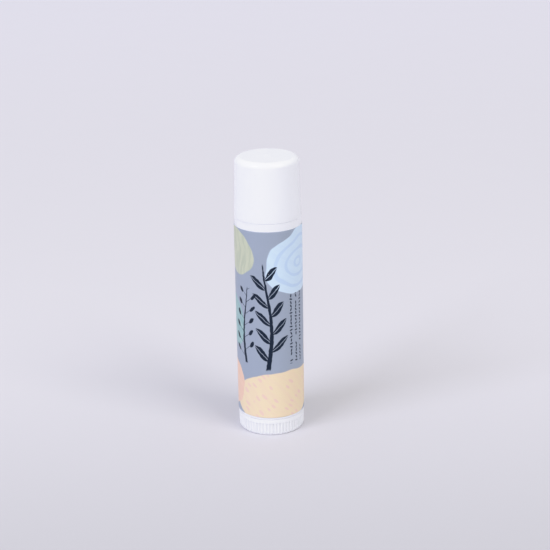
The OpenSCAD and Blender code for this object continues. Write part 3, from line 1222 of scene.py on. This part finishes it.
@dataclass
class Thumbwheel:
    """Thumbwheel with its grip ribs, spindle, snap ring and lifting screw, one moulding."""

    drum_r: float = 7.68
    collar_r: float = 7.9
    collar_z: float = 3.05
    top_z: float = 4.06
    hollow_r: float = 6.3
    hollow_z: float = 2.2
    stub_r: float = 2.3
    stub_z: float = 0.7
    dimple_r: float = 0.9
    dimple_z: float = 1.1
    boss_r: float = 5.7
    boss_z: float = 5.05
    spindle_r: float = 2.45
    snap_z: float = 6.675
    snap_lip: float = 0.15
    snap_land: float = 0.34
    snap_high: float = 0.68
    snap_r: float = 2.75
    core_r: float = 1.7
    tip_z: float = 58.0
    grips: int = 60
    grip_r: float = 0.3
    grip_round: float = 0.98
    grip_ring: float = 7.58
    grip_bottom: float = 0.1
    grip_foot: float = 0.16
    thread_z: float = 8.005
    thread_turns: float = 16.23
    thread_deep: float = 0.7
    thread_root: float = 1.3
    thread_crest: float = 0.7
    thread_fade: float = 0.25
    lead: float = 3.0
    steps: int = 5

    def build(self, plastic: Material, ribs: RibRing, thread: LeftHandThread) -> None:
        """Turns the wheel and screw, then moulds the grip ribs and the thread onto them.

        Args:
            plastic: the wheel's material.
            ribs: moulds rings of ribs.
            thread: moulds threads.
        """
        corners = [
            Corner(0, self.dimple_z),
            Corner(self.dimple_r, self.dimple_z, 0.15),
            Corner(self.dimple_r, self.stub_z, 0.1),
            Corner(self.stub_r, self.stub_z, 0.15),
            Corner(self.stub_r, self.hollow_z, 0.25),
            Corner(self.hollow_r, self.hollow_z, 0.3),
            Corner(self.hollow_r, 0, 0.12),
            Corner(self.drum_r, 0, 0.3),
            Corner(self.drum_r, self.collar_z, 0.04),
            Corner(self.collar_r, self.collar_z, 0.05),
            Corner(self.collar_r, self.top_z, 0.07),
            Corner(self.boss_r, self.top_z, 0.1),
            Corner(self.boss_r, self.boss_z, 0.1),
            Corner(self.spindle_r, self.boss_z, 0.1),
            Corner(self.spindle_r, self.snap_z, 0.04),
            Corner(self.snap_r, self.snap_z + self.snap_lip, 0.06),
            Corner(self.snap_r, self.snap_z + self.snap_land, 0.1),
            Corner(self.core_r, self.snap_z + self.snap_high, 0.2),
            Corner(self.core_r, self.tip_z - self.core_r / 2, 0.2),
            Corner(self.core_r / 2, self.tip_z, 0.2),
            Corner(0, self.tip_z),
        ]
        wheel = turned("thumbwheel_body", rounded(corners, self.steps), plastic)
        grips = {
            "Ring Radius": self.grip_ring,
            "Width": 2 * self.grip_r,
            "Depth": 2 * self.grip_r,
            "Rounding": self.grip_r * self.grip_round,
            "Bottom": self.grip_bottom,
            "Top": self.collar_z + SUNK,
            "Foot": self.grip_foot,
            "Head": BLUNT,
        }
        ribs.onto(wheel, grips, Count=self.grips, Turn=0.0)
        winding = {
            "Start": self.thread_z,
            "Lead": self.lead,
            "Root Radius": self.core_r - SUNK,
            "Depth": self.thread_deep,
            "Root Width": self.thread_root,
            "Crest Width": self.thread_crest,
        }
        thread.onto(wheel, winding, Turns=self.thread_turns, Fade_Turns=self.thread_fade)
        hand_in(wheel, "wheel", "thumbwheel_screw")


@dataclass
class BalmStick:
    """Cast balm: domed top, grooves from the guide ribs, slots for the cup's fins, screw bore."""

    bottom_z: float = 8.8
    step_z: float = 15.9
    edge_z: float = 64.9
    crown: float = 0.45
    root_r: float = 5.18
    r: float = 6.0
    bore_r: float = 2.42
    hub_r: float = 3.32
    hub_z: float = 12.3
    bore_top_z: float = 59.0
    groove_r: float = 5.6
    groove_wide: float = 1.2
    groove_top_z: float = 62.3
    slot_wide: float = 0.74
    slot_top_z: float = 11.42
    ceiling_rise: float = 0.2
    margin: float = 0.1
    shrink: float = 0.009
    wander: float = 0.003
    ripple: float = 0.012
    soft_edge: float = 0.14
    columns: int = 208
    dome_rows: int = 26
    row: float = 0.75
    top_row: float = 0.4
    groove_end: float = 0.02

    @property
    def slot_half(self) -> float:
        """Half of the angle that a fin's slot takes up."""
        return math.asin(self.slot_wide / 2 / self.hub_r)

    def relief(
        self, angles: np.ndarray, radii: np.ndarray, z: float
    ) -> tuple[np.ndarray, np.ndarray]:
        """Radii and heights with the grooves, the slots and the slight unevenness of a casting.

        The rows of points below a slot's ceiling are lifted to it, each a little higher than the
        one below it, so that no two of them meet.

        Args:
            angles: angles of the meridians.
            radii: radii without relief, in mm.
            z: height in mm.

        Returns:
            Radii and heights with relief.
        """
        heights = np.full(len(angles), z)
        if z < self.slot_top_z:
            from_fin = (angles + QUARTER / 2) % QUARTER - QUARTER / 2
            ceiling = self.slot_top_z + self.ceiling_rise * (z - self.bottom_z)
            heights = np.where(np.abs(from_fin) < self.slot_half, ceiling, heights)
        if radii[0] <= self.hub_r + self.margin:
            return radii, heights
        waves = ((3, 0.09, 0.0), (5, -0.21, 1.3), (2, 0.5, 0.0))
        wander = sum(np.sin(count * angles + rise * z + start) for count, rise, start in waves)
        uneven = radii - (self.shrink + self.wander * wander) * (radii > self.root_r + self.margin)
        if not self.bottom_z < z < self.groove_top_z:
            return uneven, heights
        off = angles % QUARTER - QUARTER / 2
        inside = np.abs(uneven * np.sin(off)) < self.groove_wide / 2
        floor = np.minimum(uneven, self.groove_r / np.cos(off))
        return np.where(inside, floor, uneven), heights

    def meridians(self) -> np.ndarray:
        """Angles of the meridians, with pairs at the edges of the grooves and slots.

        Returns:
            Sorted angles from 0 to a full turn.
        """
        pair, apart = (-0.004, 0.004), 0.012  # Radians beside an edge, and between meridians.
        base = np.linspace(0, TURN, self.columns, endpoint=False)
        groove_half = math.asin(self.groove_wide / 2 / self.r)
        edges = ((QUARTER / 2, groove_half, (*pair, 0.03)), (0.0, self.slot_half, pair))
        extra = [
            quarter * QUARTER + middle + side * (half + step)
            for middle, half, steps in edges
            for quarter in range(4)
            for side in (-1, 1)
            for step in steps
        ]
        near = np.array([min(abs(a - e % TURN) for e in extra) for a in base])
        return np.sort(np.concatenate([base[near > apart], np.array(extra) % TURN]))

    def outline(self) -> np.ndarray:
        """Outline of the balm and its bore.

        Returns:
            Points of radius and height in mm.
        """
        corners = [
            Corner(self.hub_r, self.bottom_z),
            Corner(self.root_r, self.bottom_z, 0.2),
            Corner(self.root_r, self.step_z, 0.05),
            Corner(self.r, self.step_z, 0.15),
            Corner(self.r, self.edge_z),
        ]
        top = self.groove_top_z
        rows = [
            *np.arange(self.step_z + 1.0, top - 0.2, self.row),
            *(top - self.groove_end, top + self.groove_end),
            *np.arange(top + self.top_row, self.edge_z - 0.3, self.top_row),
        ]
        dome = []
        for share in (0.0, 0.006, 0.02, *np.linspace(0.05, 1, self.dome_rows)):
            lift = self.crown * (1 - (1 - share) ** 2)
            soften = self.soft_edge * math.exp(-share / 0.012)
            ripple = self.ripple * math.sin(18 * share) * math.sin(math.pi * share)
            z = self.edge_z + lift - soften + ripple - self.ripple
            dome.append((self.r * (1 - share) - soften * 0.25, z))
        dome[-1] = (0.0, dome[-1][1])
        bore = [(0.0, self.bore_top_z), (self.bore_r, self.bore_top_z)]
        bore += [(self.bore_r, self.hub_z), (self.hub_r, self.hub_z)]
        wall = [(self.r, z) for z in rows]
        return np.array([*rounded(corners, steps=4)[:-1].tolist(), *wall, *dome, *bore])

    def build(self, wax: Material) -> None:
        """Turns the balm.

        Args:
            wax: the balm's material.
        """
        balm = turned("balm_bullet", self.outline(), wax, self.meridians(), self.relief)
        hand_in(balm, "carriage", "balm_stick")


@dataclass
class WrapLabel:
    """Printed film wrapped once round the barrel, with its seam at the back."""

    low: float = 4.7
    high: float = 51.45
    inner_r: float = 7.9
    outer_r: float = 8.0
    gap: float = 0.4
    edge: float = 0.03
    margin: float = 0.4
    rolled: float = 0.02
    wave: float = 0.006
    columns: int = 288
    rows: int = 64

    @property
    def sheet(self) -> tuple[float, float]:
        """Width and height of the flat sheet in mm."""
        return (TURN * self.outer_r - self.gap, self.high - self.low)

    def points(self) -> tuple[list[Triple], list[tuple[float, float]]]:
        """Points of the film's outside, then of its inside, and their places on the sheet.

        Returns:
            The points in mm and the UV of each.
        """
        half, tall = self.gap / 2 / self.outer_r, self.high - self.low
        angles = np.linspace(QUARTER + half, 5 * QUARTER - half, self.columns + 1)
        inner = np.linspace(self.margin, tall - self.margin, self.rows - 3)
        heights = np.array([0, self.edge, *inner, tall - self.edge, tall]) + self.low
        points, spots = [], []
        for layer in (0, 1):
            for row, z in enumerate(heights):
                for column, angle in enumerate(angles):
                    edge = min(row, self.rows - row, column, self.columns - column) == 0
                    swing = math.sin(7 * angle + 0.23 * z) + math.sin(4 * angle - 0.4 * z + 2)
                    lowered = self.rolled * edge + self.wave * (0.5 + 0.25 * swing)
                    radius = self.inner_r if layer else self.outer_r - lowered
                    points.append((radius * math.cos(angle), radius * math.sin(angle), z))
                    spots.append((column / self.columns, (z - self.low) / tall))
        return points, spots

    def faces(self) -> tuple[list[tuple[int, ...]], list[int]]:
        """Faces of the film: the printed outside, and the inside and edges, which are bare.

        Returns:
            The faces and the number of each one's material.
        """
        wide, size = self.columns + 1, (self.columns + 1) * (self.rows + 1)
        faces, kinds = [], []
        for row in range(self.rows):
            for column in range(self.columns):
                a = row * wide + column
                faces.append((a, a + 1, a + 1 + wide, a + wide))
                faces.append((size + a, size + a + wide, size + a + 1 + wide, size + a + 1))
                kinds += [0, 1]
        last = self.rows * wide
        for a in range(self.columns):
            b = last + a
            faces.append((a, size + a, size + a + 1, a + 1))
            faces.append((b, b + 1, size + b + 1, size + b))
        for row in range(self.rows):
            a, b = row * wide, row * wide + self.columns
            faces.append((a, a + wide, size + a + wide, size + a))
            faces.append((b, size + b, size + b + wide, b + wide))
        return faces, kinds + [1] * (len(faces) - len(kinds))

    def build(self, printed: Material, bare: Material) -> None:
        """Wraps the film and lays out its UV map as the flat sheet.

        Args:
            printed: the print's material.
            bare: the material of the film's edges and back.
        """
        (points, spots), (faces, kinds) = self.points(), self.faces()
        film = new_piece("printed_film", np.array(points), faces, printed, bare)
        layer = film.data.uv_layers.new(name="sheet")
        corners = [part for loop in film.data.loops for part in spots[loop.vertex_index]]
        layer.data.foreach_set("uv", corners)
        film.data.polygons.foreach_set("material_index", kinds)
        hand_in(film, "tube", "wrap_label")


# ---- the studio


@dataclass(frozen=True)
class StudioCamera:
    """Camera at the picture's viewing angle, found from the stick's outline in the frame."""

    distance: float = 351.9
    elevation: float = 21.09
    yaw: float = -0.235
    pitch: float = 1.257
    roll: float = 1.139
    focal: float = 1474.0
    frame: float = 550.0
    aim_z: float = 30.0
    sensor: float = 36.0
    clips: tuple[float, float] = (0.01, 10.0)

    def build(self) -> None:
        """Places the camera and makes it the scene's."""
        tilt = math.radians(self.elevation)
        back, up_by = self.distance * math.cos(tilt), self.distance * math.sin(tilt)
        place = Vector((0, -back, self.aim_z + up_by))
        ahead, right = Vector((0, math.cos(tilt), -math.sin(tilt))), Vector((1, 0, 0))
        swing = Matrix.Rotation(math.radians(self.yaw), 3, right.cross(ahead))
        ahead, right = swing @ ahead, swing @ right
        ahead = Matrix.Rotation(math.radians(self.pitch), 3, right) @ ahead
        lean = Matrix.Rotation(math.radians(self.roll), 3, ahead)
        right, up = lean @ right, lean @ right.cross(ahead)
        data = bpy.data.cameras.new("studio_camera")
        data.sensor_width = self.sensor
        data.lens = self.sensor * self.focal / self.frame
        data.clip_start, data.clip_end = self.clips
        camera = bpy.data.objects.new("studio_camera", data)
        turn = Matrix((right, up, -ahead)).transposed().to_4x4()
        camera.matrix_world = Matrix.Translation(place * MM) @ turn
        bpy.context.scene.collection.objects.link(camera)
        bpy.context.scene.camera = camera


@dataclass(frozen=True)
class SoftLight:
    """A square soft light that points at the stick's middle; its sizes are in metres.

    Azimuth 0 is the camera's side, and a positive one is to its right.
    """

    name: str
    azimuth: float
    elevation: float
    distance: float
    size: float
    power: float
    colour: Triple
    aim_z: float = 0.03

    def build(self) -> None:
        """Hangs the light."""
        data = bpy.data.lights.new(self.name, "AREA")
        data.shape, data.size = "SQUARE", self.size
        data.energy, data.color = self.power, self.colour
        light = bpy.data.objects.new(self.name, data)
        a, e = math.radians(self.azimuth), math.radians(self.elevation)
        away = Vector((math.sin(a) * math.cos(e), -math.cos(a) * math.cos(e), math.sin(e)))
        light.rotation_mode = "QUATERNION"
        light.location = Vector((0, 0, self.aim_z)) + away * self.distance
        light.rotation_quaternion = away.to_track_quat("Z", "Y")
        bpy.context.scene.collection.objects.link(light)


@dataclass(frozen=True)
class Studio:
    """Plain pale floor, painted darker in front as painted shade and lighter at the back as painted
    light, soft lights and a pale surround.

    The surround is a little brighter on the camera's side, and looks plain to the camera.
    """

    # front is the floor's colour in front, darkened as painted shade; back is its colour at the
    # back, lightened as painted light.
    front: Tone
    floor: Tone
    back: Tone
    surround: Tone
    backdrop: Tone
    strength: float
    lights: tuple[SoftLight, ...]
    speckle: Tone = tone(190, 190, 196)
    # Depths in metres over which the painted shade in front and the painted light at the back fade
    # in.
    painted_shade_fade: tuple[float, float] = (-0.135, 0.055)
    painted_light_fade: tuple[float, float] = (0.1, 0.75)
    front_glow: float = 0.42
    glow_azimuth: float = -24.0
    reach: float = 2.2
    white_point: float = 1.4
    shoulder: tuple[tuple[float, float], ...] = (
        (0, 0), (0.8, 0.8), (0.92, 0.895), (1.08, 0.95), (1.25, 0.985), (1.4, 1.0)
    )

    def build(self) -> None:
        """Lays the floor, hangs the lights and sets the surround and the exposure."""
        self._lay_floor()
        for light in self.lights:
            light.build()
        self._surround()
        self._expose()

    def _lay_floor(self) -> None:
        """Lays the floor card, whose tone changes with the distance from the camera: painted shade
        in front, painted light at the back.
        """
        r = self.reach
        mesh = bpy.data.meshes.new("studio_floor")
        mesh.from_pydata([(-r, -r, 0), (r, -r, 0), (r, r, 0), (-r, r, 0)], [], [(0, 1, 2, 3)])
        floor = bpy.data.objects.new("studio_floor", mesh)
        bpy.context.scene.collection.objects.link(floor)
        material, s = new_material("floor_card_painted_light_and_shade")
        place = s.place()
        depth = s.parts(place)[1]
        # Painted shade: the floor's colour darkens towards the front. Painted light: it lightens
        # towards the back.
        near = s.mixed(s.above(depth, *self.painted_shade_fade), self.front, self.floor)
        card = s.mixed(s.above(depth, *self.painted_light_fade), near, self.back)
        s.finish(
            s.noise(place, scale=2500.0),
            strength=0.1,
            depth=0.1,
            Base_Color=s.mixed(s.noise(place, scale=60.0, detail=3.0) * 0.03, card, self.speckle),
            Roughness=0.9,
            Specular_IOR_Level=0.1,
        )
        mesh.materials.append(material)

    def _surround(self) -> None:
        """Sets the light from all round, and the plain wall that the camera sees instead."""
        world = bpy.data.worlds.new("studio_surround")
        world.use_nodes = True
        s = Sketch(world.node_tree)
        side = math.radians(self.glow_azimuth)
        aim = (math.sin(side), -math.cos(side), 0)
        towards = s.vectors("DOT_PRODUCT", s.place(), aim)[1].at_least(0.0)
        strength = (towards * towards).scaled(self.front_glow, self.strength)
        sky = s.put("ShaderNodeBackground", {"Color": self.surround, "Strength": strength})
        wall = s.put("ShaderNodeBackground", {"Color": self.backdrop, "Strength": 1.0})
        seen = s.put("ShaderNodeLightPath")["Is Camera Ray"]
        both = s.put("ShaderNodeMixShader", {0: seen, 1: sky, 2: wall})
        s.put("ShaderNodeOutputWorld", {0: both})
        bpy.context.scene.world = world

    def _expose(self) -> None:
        """Sets the camera's response: plain, with a soft shoulder that keeps white in range."""
        view = bpy.context.scene.view_settings
        view.view_transform = "Standard"
        view.use_curve_mapping = True
        mapping = view.curve_mapping
        mapping.white_level = (self.white_point,) * 3
        curve = mapping.curves[3]
        start, straight, *bent, end = self.shoulder
        for point, (value, shown) in zip((curve.points[0], curve.points[-1]), (start, end)):
            point.location = (value / self.white_point, shown)
            point.handle_type = "VECTOR"
        for value, shown in (straight, *bent):
            point = curve.points.new(value / self.white_point, shown)
            point.handle_type = "AUTO" if (value, shown) in bent else "VECTOR"
        mapping.update()


def main() -> None:
    """Builds the studio and every sub-assembly in order."""
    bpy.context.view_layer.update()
    effects = Effects()
    StudioCamera().build()
    Studio(
        # Floor tones: painted shade in front, plain floor, painted light at the back.
        front=tone(192, 191, 197),
        floor=tone(220, 218, 225),
        back=tone(233, 231, 242),
        surround=(0.98, 0.98, 1.0, 1.0),
        backdrop=tone(225, 223, 233),
        strength=0.627,
        lights=(
            SoftLight("key_light", -51, 38, 2.2, 1.05, 18.5, (0.965, 0.985, 1.12)),
            SoftLight("fill_light", 48, 45, 2.2, 1.0, 14.8, (1.02, 1.005, 0.93)),
        ),
    ).build()
    white = tone(237, 238, 246)
    cap = PlasticFinish("white_cap", white, 0.22)
    barrel = PlasticFinish("white_barrel", white, 0.26)
    wheel = PlasticFinish("white_wheel", tone(235, 236, 241), 0.33, glow_depth=0.5)
    natural = PlasticFinish("natural_cup", tone(232, 233, 234), 0.45, glow=0.5).build(effects)
    wax = WaxFinish("pale_wax", tone(243, 233, 204), tone(247, 240, 221))
    ribs, thread = RibRing(), LeftHandThread()
    PullCap().build(cap.build(effects))
    BarrelTube().build(barrel.build(effects), ribs)
    Thumbwheel().build(wheel.build(effects), ribs, thread)
    BalmStick().build(wax.build(effects))
    label = WrapLabel()
    label.build(label_print(label.sheet).build(effects), BareFilm().build(effects))
    cup = frame["nodes"]["elevator_cup"]
    cup.data.materials.clear()
    cup.data.materials.append(natural)
    LOG.info("elevator_cup keeps its CAD mesh in %s", natural.name)


if __name__ == "__main__":
    logging.basicConfig(level=logging.INFO, format="%(message)s")
    main()
